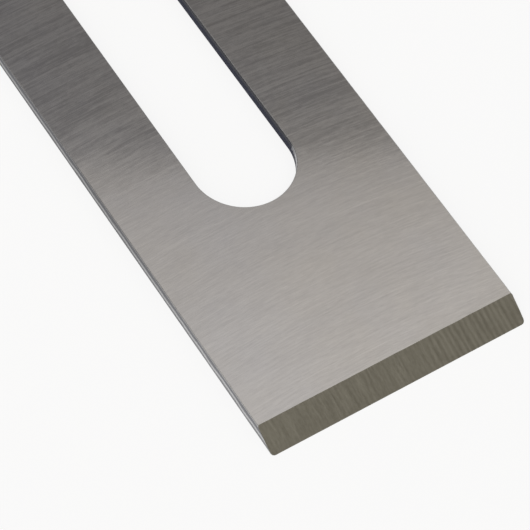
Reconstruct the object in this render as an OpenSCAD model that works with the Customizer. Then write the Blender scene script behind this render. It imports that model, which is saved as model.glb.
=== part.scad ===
// Plane iron: a flat steel blade with one ground bevel, a long slot with round
// ends and an arched top end. It lies on its flat back with the bevel up and
// the cutting edge towards -Y. The origin is on the flat back, in the middle
// of the blade's width and length.

/* [Blade] */
// Width along the cutting edge
blade_w = 41.3; // [32:0.1:60]
// Length from the cutting edge to the top of the arch
blade_l = 152; // [140:1:200]
// Thickness of the steel
blade_t = 2.3; // [1.6:0.1:5]

/* [Top end] */
// Radius of the arch across the top end
arch_r = 32; // [32:1:80]
// Radius that blends the arch into each side
shoulder_r = 4; // [1:0.5:10]

/* [Cutting edge] */
// Angle between the ground bevel and the flat back
bevel_angle = 30; // [20:1:45]
// Radius of the eased corners at the ends of the cutting edge
corner_r = 0.6; // [0.4:0.1:2]

/* [Slot] */
// Width of the slot
slot_w = 15.4; // [10:0.1:20]
// Length of the slot from one round end to the other
slot_l = 73; // [40:1:85]
// Distance from the cutting edge to the near end of the slot
slot_start = 33; // [25:0.5:38]

/* [Arrises] */
// Width of the chamfer along the outer edges
arris = 0.15; // [0.05:0.05:0.4]
// Width of the chamfer round the rims of the slot
slot_arris = 0.1; // [0.05:0.05:0.4]

/* [Hidden] */
$fn = 128;
// How far a cutter reaches past what it cuts
over = 1;
half_w = blade_w / 2;
slot_r = slot_w / 2;
near_y = slot_start + slot_r;
far_y = slot_start + slot_l - slot_r;
// Centre of the arch, and of the shoulder that touches it and the side
arch_y = blade_l - arch_r;
shoulder_x = half_w - shoulder_r;
shoulder_y = arch_y + sqrt(pow(arch_r - shoulder_r, 2) - pow(shoulder_x, 2));

// Right half of the section through the plate, with both arrises of its side
function plate_half(reach, ease) = [
    [0, 0],
    [reach - ease, 0],
    [reach, ease],
    [reach, blade_t - ease],
    [reach - ease, blade_t],
    [0, blade_t]
];

// Right half of the section through an opening, which flares out through both
// faces of the plate
function opening_half(reach, ease) = [
    [0, -over],
    [reach + ease + over, -over],
    [reach, ease],
    [reach, blade_t - ease],
    [reach + ease + over, blade_t + over],
    [0, blade_t + over]
];

// A half section joined to its mirror image in one outline
function whole(half) = concat(half, [
    for (i = [len(half) - 1:-1:0])
        if (half[i][0] > 0)
            [-half[i][0], half[i][1]]
]);

// A half section mirrored and run along Y
module run(half, from_y, to_y) {
    translate([0, to_y, 0])
        rotate([90, 0, 0])
            linear_extrude(height = to_y - from_y)
                polygon(whole(half));
}

// A half section turned about an upright axis
module turn(half, x, y) {
    translate([x, y, 0])
        rotate_extrude()
            polygon(half);
}

// The part of the arch's disc between the two shoulders
module arch() {
    far_h = 2 * arch_r;
    far_x = shoulder_x * far_h / (shoulder_y - arch_y);
    intersection() {
        turn(plate_half(arch_r, arris), 0, arch_y);
        translate([0, arch_y, -over])
            linear_extrude(height = blade_t + 2 * over)
                polygon([[0, 0], [far_x, far_h], [-far_x, far_h]]);
    }
}

// The plate before the slot is punched and the bevel is ground
module blank() {
    shoulder = plate_half(shoulder_r, arris);
    run(plate_half(half_w, arris), 0, shoulder_y);
    turn(shoulder, shoulder_x, shoulder_y);
    turn(shoulder, -shoulder_x, shoulder_y);
    arch();
}

module slot() {
    half = opening_half(slot_r, slot_arris);
    run(half, near_y, far_y);
    turn(half, 0, near_y);
    turn(half, 0, far_y);
}

// What lies above the plane of the bevel, which meets the flat back in the
// cutting edge
module bevel_waste() {
    slope_l = blade_t / sin(bevel_angle);
    rotate([bevel_angle, 0, 0])
        translate([-blade_w, -over, 0])
            cube([2 * blade_w, slope_l + 2 * over, blade_t + over]);
}

// What lies outside the round at the right end of the cutting edge
module corner_waste() {
    translate([half_w - corner_r, corner_r, -over])
        difference() {
            translate([0, -corner_r - over, 0])
                cube([corner_r + over, corner_r + over, blade_t + 2 * over]);
            cylinder(r = corner_r, h = blade_t + 2 * over);
        }
}

module plane_iron() {
    color("darkgray")
        translate([0, -blade_l / 2, 0])
            difference() {
                blank();
                slot();
                bevel_waste();
                corner_waste();
                mirror([1, 0, 0]) corner_waste();
            }
}

plane_iron();
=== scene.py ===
"""A plane iron lying bevel up on a pale studio floor.

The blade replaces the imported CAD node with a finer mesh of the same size: eased
arrises, sheared side walls, a ground bevel and a map for baking. Lengths are in
millimetres while the mesh is made, with the names that part.scad gives them.
"""

import math

import bmesh
import bpy
from mathutils import Matrix, Quaternion, Vector, noise


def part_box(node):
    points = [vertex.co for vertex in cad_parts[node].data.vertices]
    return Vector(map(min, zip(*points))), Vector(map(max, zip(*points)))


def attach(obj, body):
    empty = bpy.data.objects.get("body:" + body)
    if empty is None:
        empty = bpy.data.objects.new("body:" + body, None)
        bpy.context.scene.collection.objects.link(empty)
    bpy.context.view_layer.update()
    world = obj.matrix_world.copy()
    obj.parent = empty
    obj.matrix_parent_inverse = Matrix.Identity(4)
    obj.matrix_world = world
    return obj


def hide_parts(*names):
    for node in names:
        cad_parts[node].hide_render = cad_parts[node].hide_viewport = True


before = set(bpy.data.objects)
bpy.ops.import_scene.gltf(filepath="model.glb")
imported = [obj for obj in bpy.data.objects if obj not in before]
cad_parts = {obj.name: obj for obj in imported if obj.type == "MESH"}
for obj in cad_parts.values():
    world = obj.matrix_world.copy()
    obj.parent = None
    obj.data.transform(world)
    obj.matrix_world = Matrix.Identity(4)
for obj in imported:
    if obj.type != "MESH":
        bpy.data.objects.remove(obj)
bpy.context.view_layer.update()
low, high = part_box("plane_iron")

MM = 0.001

# Blade, measured from the cutting edge, the middle of the width and the back
BLADE_W = 41.3
BLADE_T = 2.3
BLADE_L = (high.y - low.y) / MM
ARCH_R = 32.0
SHOULDER_R = 4.0
BEVEL_ANGLE = math.radians(30)
CORNER_R = 0.6
SLOT_W = 15.4
SLOT_L = 73.0
SLOT_START = 33.0
ARRIS = 0.15
SLOT_ARRIS = 0.1

HALF_W = BLADE_W / 2
SLOT_R = SLOT_W / 2
NEAR_Y = SLOT_START + SLOT_R
FAR_Y = SLOT_START + SLOT_L - SLOT_R
MIDDLE_Y = BLADE_L / 2
ARCH_Y = BLADE_L - ARCH_R
SHOULDER_X = HALF_W - SHOULDER_R
SHOULDER_Y = ARCH_Y + math.sqrt((ARCH_R - SHOULDER_R) ** 2 - SHOULDER_X ** 2)
HEEL_Y = BLADE_T / math.tan(BEVEL_ANGLE)

# Spacing of the mesh
STATION = 1.0
ARC_STATION = 0.25
# Shares of an arris that its section has gone in from the edge and down from the face
ARRIS_SECTION = ((1, 0), (0.8, 0.1), (0.1, 0.8), (0, 1))
FACE_LOOPS = (0.0, 0.02, 0.1, 0.25, 0.45, 0.65, 0.8, 0.93, 1.0)
WALL_HEIGHTS = (0.8, 0.7, 0.6, 0.52, 0.44, 0.36, 0.26, 0.16)
BEVEL_COLUMN = 1.0
NO_GAP = 1e-4

# Sheared walls: a burnished band above a rougher fracture, and hand-ground heel
BURNISH_Z = 0.34 * BLADE_T
BURNISH_W = 0.23 * BLADE_T
BURNISH_WANDER = 0.3
FRACTURE_DEPTH = 0.03
HEEL_WANDER = 0.05

# Material slots of the blade's mesh
FACE, BEVEL, SIDE, SLOT, RIM = range(5)

# Map for baking, as shares of its side: wall strips and bevel below, faces above
MAP_MARGIN = 0.006
WALL_STRIP = 0.031
BEVEL_STRIP = 0.055
FACES_V = 6 * WALL_STRIP + BEVEL_STRIP + MAP_MARGIN

# Arcs that a rotary grinder leaves on the faces, from the blade's middle
GRIND_R = 221.0
GRIND_X = -3.9

# Wheel marks on the bevel
MARK_PITCH = 0.84
MARK_LEAN = 0.083

# Way in which the room and the overhead lamp run, from +Y towards +X
LAMP_HEADING = math.radians(25.5)
FORWARD = Vector((math.sin(LAMP_HEADING), math.cos(LAMP_HEADING), 0))

CAMERA_PLACE = Vector((-0.12578, -0.19864, 0.30347))
CAMERA_TARGET = Vector((-0.00552, -0.05032, 0.0))
CAMERA_ROLL = math.radians(7.91)
CAMERA_LENS = 176.6


# Outline of the blade, as points and outward normals

def arc(centre, radius, start, end):
    """The stretch of an arc, without its last point."""
    steps = max(3, round(abs(end - start) * radius / ARC_STATION))
    for step in range(steps):
        angle = start + (end - start) * step / steps
        normal = Vector((math.cos(angle), math.sin(angle)))
        yield Vector(centre) + normal * radius, normal


def line(start, end, normal):
    """The stretch of a straight edge, without its last point."""
    start, end = Vector(start), Vector(end)
    steps = round((end - start).length / STATION)
    for step in range(steps):
        yield start.lerp(end, step / steps), Vector(normal)


def right_half():
    """The outer edge from the middle of the cutting edge to the top of the arch."""
    turn = math.atan2(SHOULDER_Y - ARCH_Y, SHOULDER_X)
    return [
        *line((0, 0), (HALF_W - CORNER_R, 0), (0, -1)),
        *arc((HALF_W - CORNER_R, CORNER_R), CORNER_R, -math.pi / 2, 0),
        *line((HALF_W, CORNER_R), (HALF_W, MIDDLE_Y), (1, 0)),
        *line((HALF_W, MIDDLE_Y), (HALF_W, SHOULDER_Y), (1, 0)),
        *arc((SHOULDER_X, SHOULDER_Y), SHOULDER_R, 0, turn),
        *arc((0, ARCH_Y), ARCH_R, turn, math.pi / 2),
        (Vector((0, BLADE_L)), Vector((0, 1))),
    ]


def outline():
    """The whole outer edge, anticlockwise from the middle of the cutting edge."""
    right = right_half()
    mirror = Matrix(((-1, 0), (0, 1)))
    left = [(mirror @ point, mirror @ normal) for point, normal in right[-2:0:-1]]
    return right + left


# Section of the blade, taken from the slot to the outer edge

def smooth(value, start, end):
    """0 before start, 1 after end and an eased climb between them."""
    share = min(max((value - start) / (end - start), 0), 1)
    return share * share * (3 - 2 * share)


def burnish_edge(point):
    """Height at which the burnished band of a wall ends."""
    return BURNISH_Z + BURNISH_WANDER * noise.noise(Vector((point.x * 0.35, point.y * 0.35, 5)))


def eased_edge(wall, out, ease, upper):
    """A lightly rounded chamfer, from the face to the wall or from the wall to the back."""
    for inset, drop in ARRIS_SECTION if upper else reversed(ARRIS_SECTION):
        place = wall - out * inset * ease
        z = BLADE_T - drop * ease if upper else drop * ease
        yield Vector((*place, z))


def wall(point, out, ease, share):
    """A wall and its two arrises, from the face down to the back."""
    torn = FRACTURE_DEPTH * share
    heights = [height * BLADE_T for height in WALL_HEIGHTS]
    rows = list(eased_edge(point, out, ease, upper=True))
    for z in heights:
        depth = torn * smooth(burnish_edge(point) - z, 0, 0.3)
        place = point - out * depth
        rows.append(Vector((*place, z)))
    rows.extend(eased_edge(point - out * torn, out, ease, upper=False))
    return rows


def section(edge, out):
    """The four sides of the section at a station: face, outer wall, back and slot wall."""
    axis = Vector((0, min(max(edge.y, NEAR_Y), FAR_Y)))
    rim_out = (edge - axis).normalized()
    rim = axis + rim_out * SLOT_R
    sharpness = smooth(edge.y, 0, CORNER_R)
    outer = wall(edge, out, ARRIS * sharpness * (1 + 0.25 * noise.noise(Vector((*edge, 9)))), sharpness)
    inner = wall(rim, -rim_out, SLOT_ARRIS, 1)[::-1]
    face = [inner[-1].lerp(outer[0], share) for share in FACE_LOOPS]
    back = [outer[-1].lerp(inner[0], 1 - share) for share in reversed(FACE_LOOPS)]
    return face, outer, back, inner


# Map for baking

def face_place(point, tile):
    """Place on one of the four tiles that hold the two halves of each face."""
    u = tile / 4 + MAP_MARGIN + (point.x / BLADE_W + 0.5) * (0.25 - 2 * MAP_MARGIN)
    from_y = 0 if tile % 2 == 0 else MIDDLE_Y
    v = FACES_V + (point.y - from_y) / MIDDLE_Y * (1 - FACES_V - MAP_MARGIN)
    return u, v


def strip_place(along, across, strip, height=WALL_STRIP):
    """Place on one of the narrow strips below the faces."""
    u = MAP_MARGIN + along * (1 - 2 * MAP_MARGIN)
    v = strip * WALL_STRIP + MAP_MARGIN + across * (height - MAP_MARGIN)
    return u, v


# Mesh

def blank_mesh(bm):
    """The plate with its slot, before the bevel is ground, as one closed grid of quads."""
    uv_map = bm.loops.layers.uv.new("OFBake")
    sections = [section(*station) for station in outline()]
    rings = [[bm.verts.new(point) for side in sides for point in side[:-1]] for sides in sections]
    sides_of_rows = [index for index, side in enumerate(sections[0]) for _ in side[:-1]]
    finishes = row_finishes(sections[0])
    count, rows = len(rings), len(rings[0])
    quarter_starts = quarter_stations(sections)
    for station in range(count):
        quarter = sum(station >= start for start in quarter_starts[1:])
        first, last = quarter_starts[quarter], (quarter_starts + [count])[quarter + 1]
        for row in range(rows):
            corners = ((station, row), (station + 1, row), (station + 1, row + 1), (station, row + 1))
            quad = bm.faces.new([rings[s % count][r % rows] for s, r in corners])
            side = sides_of_rows[row]
            quad.material_index = finishes[row]
            for loop, (s, _) in zip(quad.loops, corners):
                place = loop.vert.co
                if side in (0, 2):
                    tile = side + (quarter in (1, 2))
                    loop[uv_map].uv = face_place(place, tile)
                else:
                    along = (s - first) / (last - first)
                    strip = quarter if side == 1 else 4 + (quarter in (1, 2))
                    if side == 3:
                        along = (along + (quarter in (2, 3))) / 2
                    loop[uv_map].uv = strip_place(along, place.z / BLADE_T, strip)
    bmesh.ops.remove_doubles(bm, verts=bm.verts, dist=NO_GAP)
    return uv_map


def row_finishes(sides):
    """The material slot of each row of quads."""
    finishes = []
    for side, finish in zip(sides, (FACE, SIDE, FACE, SLOT)):
        rows = len(side) - 1
        arrises = len(ARRIS_SECTION) - 1 if finish in (SIDE, SLOT) else 0
        finishes += [RIM if row < arrises or row >= rows - arrises else finish for row in range(rows)]
    return finishes


def quarter_stations(sections):
    """The stations at which each quarter of the outline starts, at the ends and mid length."""
    top = len(sections) // 2
    edges = [sides[1][0] for sides in sections]
    right = next(index for index, edge in enumerate(edges) if edge.y > MIDDLE_Y - NO_GAP)
    return [0, right, top, len(sections) - right]


def grind_bevel(bm, uv_map):
    """Cuts the bevel and closes it with columns of faces, under a slightly wandering heel."""
    everything = list(bm.verts) + list(bm.edges) + list(bm.faces)
    up_slope = Vector((0, -math.sin(BEVEL_ANGLE), math.cos(BEVEL_ANGLE)))
    bmesh.ops.bisect_plane(bm, geom=everything, dist=NO_GAP, plane_co=(0, 0, 0), plane_no=up_slope, clear_outer=True)
    rim = [edge for edge in bm.edges if edge.is_boundary]
    bmesh.ops.edgeloop_fill(bm, edges=rim, mat_nr=BEVEL)
    columns = int(HALF_W / BEVEL_COLUMN)
    for column in range(-columns, columns + 1):
        ground = [face for face in bm.faces if face.material_index == BEVEL]
        around = {item for face in ground for item in (*face.verts, *face.edges)}
        bmesh.ops.bisect_plane(bm, geom=ground + list(around), dist=NO_GAP, plane_co=(column * BEVEL_COLUMN, 0, 0), plane_no=(1, 0, 0))
    bmesh.ops.triangulate(bm, faces=[face for face in bm.faces if len(face.verts) > 4])
    for face in bm.faces:
        if face.material_index == BEVEL:
            for loop in face.loops:
                place = loop.vert.co
                loop[uv_map].uv = strip_place(place.x / BLADE_W + 0.5, place.z / BLADE_T, 6, BEVEL_STRIP)
    for vert in bm.verts:
        if abs(vert.co.z - BLADE_T) < NO_GAP and abs(vert.co.y - HEEL_Y) < 10 * NO_GAP:
            vert.co.y += HEEL_WANDER * noise.noise(Vector((vert.co.x * 0.4, 0, 3)))


def mark_edges(bm):
    """Smooth faces that meet sharply round the bevel."""
    for face in bm.faces:
        face.smooth = True
    for edge in bm.edges:
        kinds = {face.material_index for face in edge.link_faces}
        edge.smooth = kinds == {BEVEL} or BEVEL not in kinds


def flatten_shading(mesh):
    """Shades the ground surfaces as true planes, so that only the arrises look rounded."""
    slope = Vector((0, -math.sin(BEVEL_ANGLE), math.cos(BEVEL_ANGLE)))
    normals = [corner.vector.copy() for corner in mesh.corner_normals]
    on_face = {}
    for polygon in mesh.polygons:
        if polygon.material_index == FACE and abs(polygon.normal.z) > 1 - NO_GAP:
            on_face.update((vertex, polygon.normal.copy()) for vertex in polygon.vertices)
    for polygon in mesh.polygons:
        for corner, vertex in zip(polygon.loop_indices, polygon.vertices):
            if polygon.material_index == BEVEL:
                normals[corner] = slope
            elif vertex in on_face:
                normals[corner] = on_face[vertex]
    mesh.normals_split_custom_set(normals)


def blade():
    """The blade as one object in the row frame."""
    bm = bmesh.new()
    uv_map = blank_mesh(bm)
    grind_bevel(bm, uv_map)
    bmesh.ops.recalc_face_normals(bm, faces=bm.faces)
    mark_edges(bm)
    torn = bm.verts.layers.float.new("burnish")
    for vert in bm.verts:
        vert[torn] = vert.co.z - burnish_edge(vert.co)
    bmesh.ops.scale(bm, verts=bm.verts, vec=(MM, MM, MM))
    bmesh.ops.translate(bm, verts=bm.verts, vec=(0, low.y, 0))
    mesh = bpy.data.meshes.new("blade")
    bm.to_mesh(mesh)
    bm.free()
    flatten_shading(mesh)
    piece = bpy.data.objects.new("blade", mesh)
    bpy.context.collection.objects.link(piece)
    return piece


# Materials

class Nodes:
    """A node tree that grows by short calls."""

    def __init__(self, tree):
        self.tree = tree

    def add(self, kind, inputs, **settings):
        """A node, with a value or another node's output for each named input."""
        node = self.tree.nodes.new("ShaderNode" + kind)
        for name, value in settings.items():
            setattr(node, name, value)
        self.feed(node, inputs)
        return node

    def feed(self, node, inputs):
        for name, value in inputs.items():
            if isinstance(value, bpy.types.NodeSocket):
                self.tree.links.new(value, node.inputs[name])
            else:
                node.inputs[name].default_value = value

    def math(self, operation, *values):
        return self.add("Math", dict(enumerate(values)), operation=operation).outputs[0]

    def noise(self, scales, places, detail=4.0, rough=0.6):
        """Noise over some places, each with its own number of features per millimetre."""
        scaled = [self.math("MULTIPLY", place, scale) for place, scale in zip(places, scales)]
        vector = self.add("CombineXYZ", dict(enumerate(scaled))).outputs[0]
        inputs = {"Vector": vector, "Scale": 1.0, "Detail": detail, "Roughness": rough}
        return self.add("TexNoise", inputs).outputs["Fac"]

    def spread(self, value, start, end, to_start, to_end, curve="LINEAR"):
        inputs = {"Value": value, 1: start, 2: end, 3: to_start, 4: to_end}
        return self.add("MapRange", inputs, interpolation_type=curve).outputs[0]

    def blend(self, share, first, second):
        inputs = {0: share, 6: first, 7: second}
        return self.add("Mix", inputs, data_type="RGBA").outputs[2]


class Material(Nodes):
    """A material of the blade. Its coordinates are millimetres."""

    def __init__(self, name, metallic):
        self.data = bpy.data.materials.new(name)
        self.data.use_nodes = True
        super().__init__(self.data.node_tree)
        self.shader = self.tree.nodes["Principled BSDF"]
        self.shader.inputs["Metallic"].default_value = metallic
        place = self.add("TexCoord", {}).outputs["Object"]
        scaled = self.add("VectorMath", {0: place, "Scale": 1 / MM}, operation="SCALE")
        axes = self.add("SeparateXYZ", {0: scaled.outputs[0]})
        self.x, self.y, self.z = axes.outputs

    def finish(self, colour, roughness, height, depth):
        """Joins the looks to the shader. Depth is the relief in millimetres."""
        bump = self.add("Bump", {"Height": height, "Distance": depth * MM, "Strength": 1.0})
        self.feed(self.shader, {"Base Color": colour, "Roughness": roughness, "Normal": bump.outputs[0]})
        return self.data


def ground_face():
    """The flat faces, with the fine arcs that a rotary grinder leaves."""
    m = Material("ground_face", 1.0)
    across = m.math("ADD", m.x, -GRIND_X)
    bow = m.math("MULTIPLY", m.math("MULTIPLY", across, across), 0.5 / GRIND_R)
    arc_y = m.math("ADD", m.y, bow)
    short = m.noise((0.28, 3.7, 1.0), (m.x, arc_y, m.z), detail=3.0, rough=0.8)
    long = m.noise((0.05, 2.4, 1.0), (m.x, arc_y, m.z), detail=3.0, rough=0.8)
    ahead = m.math("ADD", m.math("MULTIPLY", m.x, FORWARD.x), m.math("MULTIPLY", m.y, FORWARD.y))
    far = m.spread(ahead, -38, -25, 0, 1, "SMOOTHSTEP")
    fine = m.math("MULTIPLY_ADD", m.math("MULTIPLY", far, 0.6), m.math("SUBTRACT", long, short), short)
    broad = m.noise((0.04, 0.35, 1.0), (m.x, arc_y, m.z))
    cloud = m.noise((0.06, 0.06, 1.0), (m.x, m.y, m.z))
    scratch = m.noise((0.03, 3.6, 1.0), (m.x, arc_y, m.z), detail=2.0)
    speckle = m.noise((1.0, 1.8, 1.0), (m.x, arc_y, m.z), detail=2.0)
    ground = m.math("ADD", m.math("MULTIPLY", fine, 0.65), m.math("MULTIPLY", broad, 0.2))
    ground = m.math("ADD", ground, m.math("MULTIPLY", speckle, 0.15))
    tone = m.math("ADD", ground, m.spread(scratch, 0.62, 0.75, 0, 0.15))
    contrast = m.spread(far, 0, 1, 2.1, m.spread(ahead, 0, 20, 7.6, 5.0))
    shade = m.math("ADD", m.math("MULTIPLY", m.math("SUBTRACT", tone, 0.49), contrast), 0.5)
    warmth = m.math("ADD", m.spread(m.x, -HALF_W, HALF_W, -0.15, 0.2), cloud)
    dull = m.blend(m.spread(warmth, 0.2, 0.8, 0, 1), (0.445, 0.437, 0.447, 1), (0.459, 0.440, 0.421, 1))
    clean = m.blend(m.spread(warmth, 0.2, 0.8, 0, 1), (0.603, 0.592, 0.597, 1), (0.619, 0.595, 0.567, 1))
    colour = m.blend(shade, dull, clean)
    roughness = m.spread(m.math("ADD", m.math("MULTIPLY", fine, 0.6), m.math("MULTIPLY", cloud, 0.4)), 0.3, 0.7, 0.09, 0.14)
    return m.finish(colour, roughness, tone, 0.003)


def ground_bevel():
    """The bevel, with wheel marks that run down its slope."""
    m = Material("ground_bevel", 1.0)
    slope = m.math("MULTIPLY", m.z, -1 / math.sin(BEVEL_ANGLE))
    lean = m.math("ADD", m.x, m.math("MULTIPLY", slope, -MARK_LEAN))
    fine = m.noise((2.4, 0.2, 0.0), (lean, slope, m.z), detail=4.0, rough=0.75)
    grit = m.noise((3.0, 1.4, 0.0), (lean, slope, m.z), detail=2.0)
    wander = m.noise((0.3, 0.1, 0.0), (lean, slope, m.z))
    phase = m.math("ADD", m.math("MULTIPLY", lean, 2 * math.pi / MARK_PITCH), m.math("MULTIPLY", wander, 5.0))
    marks = m.math("SINE", phase)
    strong = m.spread(m.x, 0, 13, 0.05, 1, "SMOOTHSTEP")
    chatter = m.math("MULTIPLY", m.math("MULTIPLY", marks, 0.26), strong)
    mottle = m.noise((0.25, 0.35, 0.0), (m.x, slope, m.z), detail=5.0)
    grain = m.math("ADD", m.math("MULTIPLY", mottle, 0.15), m.math("MULTIPLY", fine, 0.45))
    grain = m.math("ADD", grain, m.math("MULTIPLY", grit, 0.4))
    tone = m.math("ADD", m.spread(grain, 0.35, 0.65, 0.2, 0.8), chatter)
    shade = m.spread(tone, 0.2, 0.8, 0, 1)
    colour = m.blend(shade, (0.30, 0.285, 0.235, 1), (0.388, 0.370, 0.310, 1))
    roughness = m.spread(fine, 0.3, 0.7, 0.3, 0.42)
    return m.finish(colour, roughness, tone, 0.004)


def sheared_side():
    """A sheared side: darker below, partly a torn fracture and partly painted shade; a burnished band above it, a
    painted line of shade under the arris, and darker towards the far end.
    """
    m = Material("sheared_side", 1.0)
    scores = m.noise((2.5, 2.5, 0.25), (m.x, m.y, m.z), detail=5.0, rough=0.65)
    grain = m.noise((4.0, 4.0, 4.0), (m.x, m.y, m.z), detail=6.0, rough=0.7)
    above = m.add("Attribute", {}, attribute_name="burnish").outputs["Fac"]
    ragged = m.math("ADD", above, m.spread(grain, 0.3, 0.7, -0.12, 0.12))
    band = m.spread(ragged, -0.1, 0.1, 0, 1, "SMOOTHSTEP")
    # Painted shade: a darker line just under the arris.
    scale = m.spread(ragged, BURNISH_W - 0.1, BURNISH_W + 0.1, 0, 1, "SMOOTHSTEP")
    # Darker lower zone: partly a torn fracture, partly painted shade near the back.
    torn = m.blend(m.spread(grain, 0.3, 0.7, 0, 1), (0.18, 0.18, 0.185, 1), (0.31, 0.31, 0.318, 1))
    bright = m.blend(m.spread(scores, 0.3, 0.7, 0, 1), (0.40, 0.40, 0.405, 1), (0.50, 0.50, 0.505, 1))
    dark = m.blend(m.spread(grain, 0.3, 0.7, 0, 1), (0.15, 0.15, 0.16, 1), (0.25, 0.25, 0.265, 1))
    clean = m.blend(scale, m.blend(band, torn, bright), dark)
    # Darker towards the far end.
    far_darkening = m.spread(m.y, -66, -30, 0, 0.46, "SMOOTHSTEP")
    colour = m.blend(far_darkening, clean, (0.02, 0.02, 0.024, 1))
    roughness = m.spread(m.math("SUBTRACT", band, scale), 0, 1, 0.5, 0.25)
    height = m.math("ADD", m.math("MULTIPLY", scores, 0.5), m.math("MULTIPLY", grain, m.spread(band, 0, 1, 1, 0.2)))
    return m.finish(colour, roughness, height, 0.02)


def slot_wall():
    """The wall of the slot, painted blue-black as the reflection of a dark surface, a little lighter in its upper
    part as painted reflection, with a painted highlight on the upper wall where the near arc begins.
    """
    m = Material("slot_wall", 0.0)
    m.shader.inputs["Specular IOR Level"].default_value = 0.05
    scores = m.noise((2.5, 2.5, 0.25), (m.x, m.y, m.z), detail=5.0, rough=0.65)
    grain = m.noise((3.0, 3.0, 3.0), (m.x, m.y, m.z), detail=6.0, rough=0.7)
    shade = m.spread(m.math("ADD", m.math("MULTIPLY", scores, 0.5), m.math("MULTIPLY", grain, 0.5)), 0.35, 0.65, 0, 1)
    ragged = m.math("ADD", m.z, m.spread(grain, 0.3, 0.7, -0.3, 0.3))
    upper = m.spread(ragged, 0.5 * BLADE_T, 0.95 * BLADE_T, 0, 1)
    # Painted reflection: blue-black below, a little lighter above.
    painted_dark_reflection = m.blend(shade, (0.006, 0.008, 0.024, 1), (0.021, 0.024, 0.048, 1))
    painted_upper_reflection = m.blend(shade, (0.025, 0.025, 0.028, 1), (0.050, 0.050, 0.053, 1))
    # Painted highlight: a pale patch on the upper wall where the near arc begins.
    bright = m.blend(shade, (0.40, 0.40, 0.42, 1), (0.60, 0.60, 0.62, 1))
    low_edge = m.spread(ragged, 0.45 * BLADE_T, 0.6 * BLADE_T, 0, 1, "SMOOTHSTEP")
    into_arc = m.math("ADD", m.math("MULTIPLY", m.y, -1.0), m.spread(scores, 0.3, 0.7, -1.0, 1.0))
    highlight_end = m.spread(into_arc, MIDDLE_Y - NEAR_Y + 0.6, MIDDLE_Y - NEAR_Y + 3.2, 0, 1, "SMOOTHSTEP")
    colour = m.blend(m.math("MULTIPLY", low_edge, highlight_end), m.blend(upper, painted_dark_reflection, painted_upper_reflection), bright)
    roughness = m.spread(upper, 0, 1, 0.45, 0.15)
    return m.finish(colour, roughness, scores, 0.01)


def arris_rim():
    """The arrises, lighter near the cutting edge and darker towards the far end."""
    m = Material("arris_rim", 1.0)
    grain = m.noise((1.5, 1.5, 4.0), (m.x, m.y, m.z), detail=5.0, rough=0.7)
    shade = m.spread(grain, 0.3, 0.7, 0, 1)
    near_tone = m.blend(shade, (0.43, 0.425, 0.42, 1), (0.56, 0.55, 0.54, 1))
    dull = m.blend(shade, (0.24, 0.238, 0.24, 1), (0.36, 0.355, 0.355, 1))
    # Lighter near the cutting edge, darker towards the far end.
    colour = m.blend(m.spread(m.y, -66, -30, 0, 1, "SMOOTHSTEP"), near_tone, dull)
    roughness = m.spread(grain, 0.3, 0.7, 0.4, 0.25)
    return m.finish(colour, roughness, grain, 0.01)


# Studio

def softbox(name, place, target, size, radiance, colour, turn=0.0):
    """A rectangular lamp that shows in reflections and not to the camera."""
    lamp = bpy.data.lights.new(name, "AREA")
    lamp.shape = "RECTANGLE"
    lamp.size, lamp.size_y = size
    lamp.energy = radiance * math.pi * size[0] * size[1]
    lamp.color = colour
    holder = bpy.data.objects.new(name, lamp)
    holder.location = place
    aim = (Vector(target) - Vector(place)).to_track_quat("-Z", "Y")
    holder.rotation_euler = (aim @ Quaternion((0, 0, 1), turn)).to_euler()
    holder.visible_camera = False
    bpy.context.collection.objects.link(holder)


def shown_white(tree):
    """1 for rays that should see the backdrop as white: camera, glossy and transmission rays."""
    path = tree.nodes.new("ShaderNodeLightPath")
    share = path.outputs["Is Camera Ray"]
    for kind in ("Is Glossy Ray", "Is Transmission Ray"):
        largest = tree.nodes.new("ShaderNodeMath")
        largest.operation = "MAXIMUM"
        tree.links.new(share, largest.inputs[0])
        tree.links.new(path.outputs[kind], largest.inputs[1])
        share = largest.outputs[0]
    return share


def floor():
    """A pale floor that keeps the blade's shadow."""
    mesh = bpy.data.meshes.new("floor")
    reach = 3.0
    mesh.from_pydata([(-reach, -reach, 0), (reach, -reach, 0), (reach, reach, 0), (-reach, reach, 0)], [], [(0, 1, 2, 3)])
    plane = bpy.data.objects.new("floor", mesh)
    bpy.context.collection.objects.link(plane)
    material = bpy.data.materials.new("floor")
    material.use_nodes = True
    tree = material.node_tree
    shader = tree.nodes["Principled BSDF"]
    shader.inputs["Base Color"].default_value = (0.95, 0.95, 0.95, 1)
    shader.inputs["Roughness"].default_value = 0.9
    shader.inputs["Specular IOR Level"].default_value = 0.0
    glow = tree.nodes.new("ShaderNodeEmission")
    glow.inputs["Color"].default_value = (1.0, 1.0, 1.0, 1)
    part = tree.nodes.new("ShaderNodeMath")
    part.operation = "MULTIPLY"
    part.inputs[1].default_value = 0.85
    tree.links.new(shown_white(tree), part.inputs[0])
    mix = tree.nodes.new("ShaderNodeMixShader")
    tree.links.new(part.outputs[0], mix.inputs[0])
    tree.links.new(shader.outputs[0], mix.inputs[1])
    tree.links.new(glow.outputs[0], mix.inputs[2])
    tree.links.new(mix.outputs[0], tree.nodes["Material Output"].inputs["Surface"])
    mesh.materials.append(material)


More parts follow.
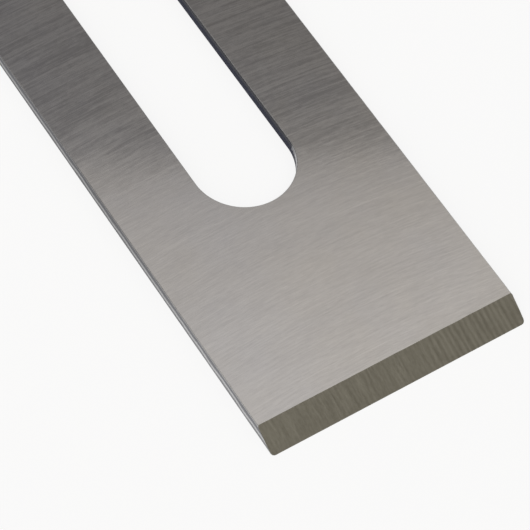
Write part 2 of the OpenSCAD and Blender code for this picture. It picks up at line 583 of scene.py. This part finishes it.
def studio():
    """A room with a pale low backdrop, dim walls and a paler ceiling, and two softboxes."""
    world = bpy.data.worlds.new("studio")
    bpy.context.scene.world = world
    world.use_nodes = True
    tree = world.node_tree
    room = Nodes(tree)
    way = room.add("TexCoord", {}).outputs["Generated"]
    height = room.add("SeparateXYZ", {0: way}).outputs[2]
    forward = room.add("VectorMath", {0: way, 1: FORWARD}, operation="DOT_PRODUCT").outputs["Value"]
    far = room.spread(forward, 0.45, 0.6, 1, 0, "SMOOTHSTEP")
    near = room.spread(forward, -0.3, -0.1, 0, 1, "SMOOTHSTEP")
    high = room.spread(height, 0.3, 0.6, 0, 1, "SMOOTHSTEP")
    ceiling = room.math("MULTIPLY", room.math("MULTIPLY", far, near), high)
    low_band = room.spread(height, 0.1, 0.28, 1, 0, "SMOOTHSTEP")
    walls = room.blend(near, (0.245, 0.23, 0.205, 1), (0.235, 0.23, 0.23, 1))
    above = room.blend(ceiling, walls, (0.585, 0.567, 0.543, 1))
    colour = room.blend(low_band, above, (0.95, 0.95, 0.95, 1))
    room.feed(tree.nodes["Background"], {"Color": colour})
    middle = FORWARD * 0.0001
    softbox("overhead", (middle.x, middle.y, 0.2), (middle.x, middle.y, 0), (0.6, 0.2002), 0.256, (1.0, 0.968, 0.918), -LAMP_HEADING)
    softbox("key", (-1.1, -0.85, 0.95), (0, 0, 0), (2.8, 2.8), 0.85, (1.0, 1.0, 1.0))


def camera():
    data = bpy.data.cameras.new("camera")
    data.lens = CAMERA_LENS
    view = bpy.data.objects.new("camera", data)
    view.location = CAMERA_PLACE
    level = (CAMERA_TARGET - CAMERA_PLACE).to_track_quat("-Z", "Y")
    view.rotation_euler = (level @ Quaternion((0, 0, 1), CAMERA_ROLL)).to_euler()
    bpy.context.collection.objects.link(view)
    bpy.context.scene.camera = view


camera()
floor()
studio()
iron = blade()
for finish in (
    ground_face(),
    ground_bevel(),
    sheared_side(),
    slot_wall(),
    arris_rim(),
):
    iron.data.materials.append(finish)
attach(iron, "root")
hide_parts("plane_iron")

bpy.context.scene.view_settings.view_transform = "Standard"
